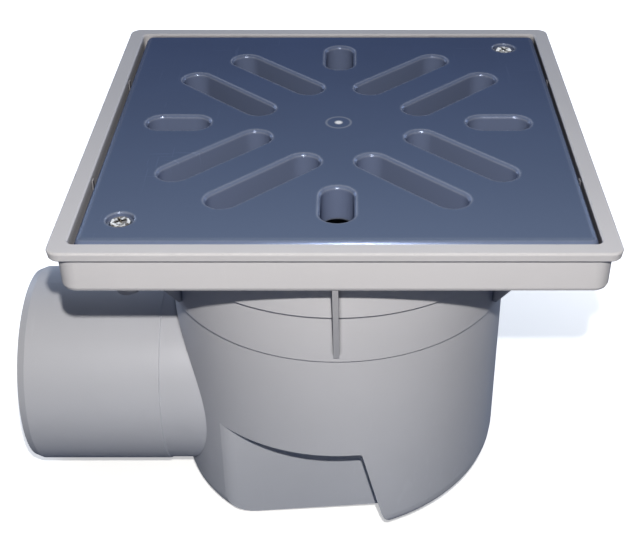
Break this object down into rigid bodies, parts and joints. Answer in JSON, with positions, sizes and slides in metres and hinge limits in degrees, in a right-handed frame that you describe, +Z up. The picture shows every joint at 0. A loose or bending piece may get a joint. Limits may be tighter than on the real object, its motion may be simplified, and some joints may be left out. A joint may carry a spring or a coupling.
{
  "type": "gully trap",
  "caption": "Moulded floor gully with a side outlet, a square frame, a screwed slotted grate, a silt bucket and a flap odour trap.",
  "frame": {"origin": "on the axis of the round pot, in its sloping underside", "axes": "+Z up, the outlet runs towards -X, +Y is the side away from the viewer in the usual front view"},
  "size_m": [0.2935, 0.245, 0.2094],
  "materials": {
    "light_grey_plastic": "satin moulded polypropylene, light grey",
    "slate_plastic": "satin moulded plastic, blue-grey",
    "dark_plastic": "satin moulded plastic, dark grey",
    "black_rubber": "matt black rubber",
    "stainless_steel": "bright stainless steel",
    "brass": "plain turned brass"
  },
  "bodies": {
    "gully": {"pot_body": "light_grey_plastic", "inlet_frame": "light_grey_plastic", "skirt_seal": "black_rubber", "grate": "slate_plastic", "grate_screws": "stainless_steel", "threaded_inserts": "brass", "silt_bucket": "dark_plastic", "bucket_handle": "stainless_steel", "trap_housing": "dark_plastic", "trap_seal": "black_rubber", "flap_pin": "stainless_steel"},
    "flap": {"trap_flap": "dark_plastic", "flap_gasket": "black_rubber"}
  },
  "joints": [
    {"name": "flap_hinge", "type": "hinge", "parent": "gully", "child": "flap", "pos_m": [-0.08553, 0, 0.09304], "axis": [0, 1, 0], "range_deg": [0, 60]}
  ]
}
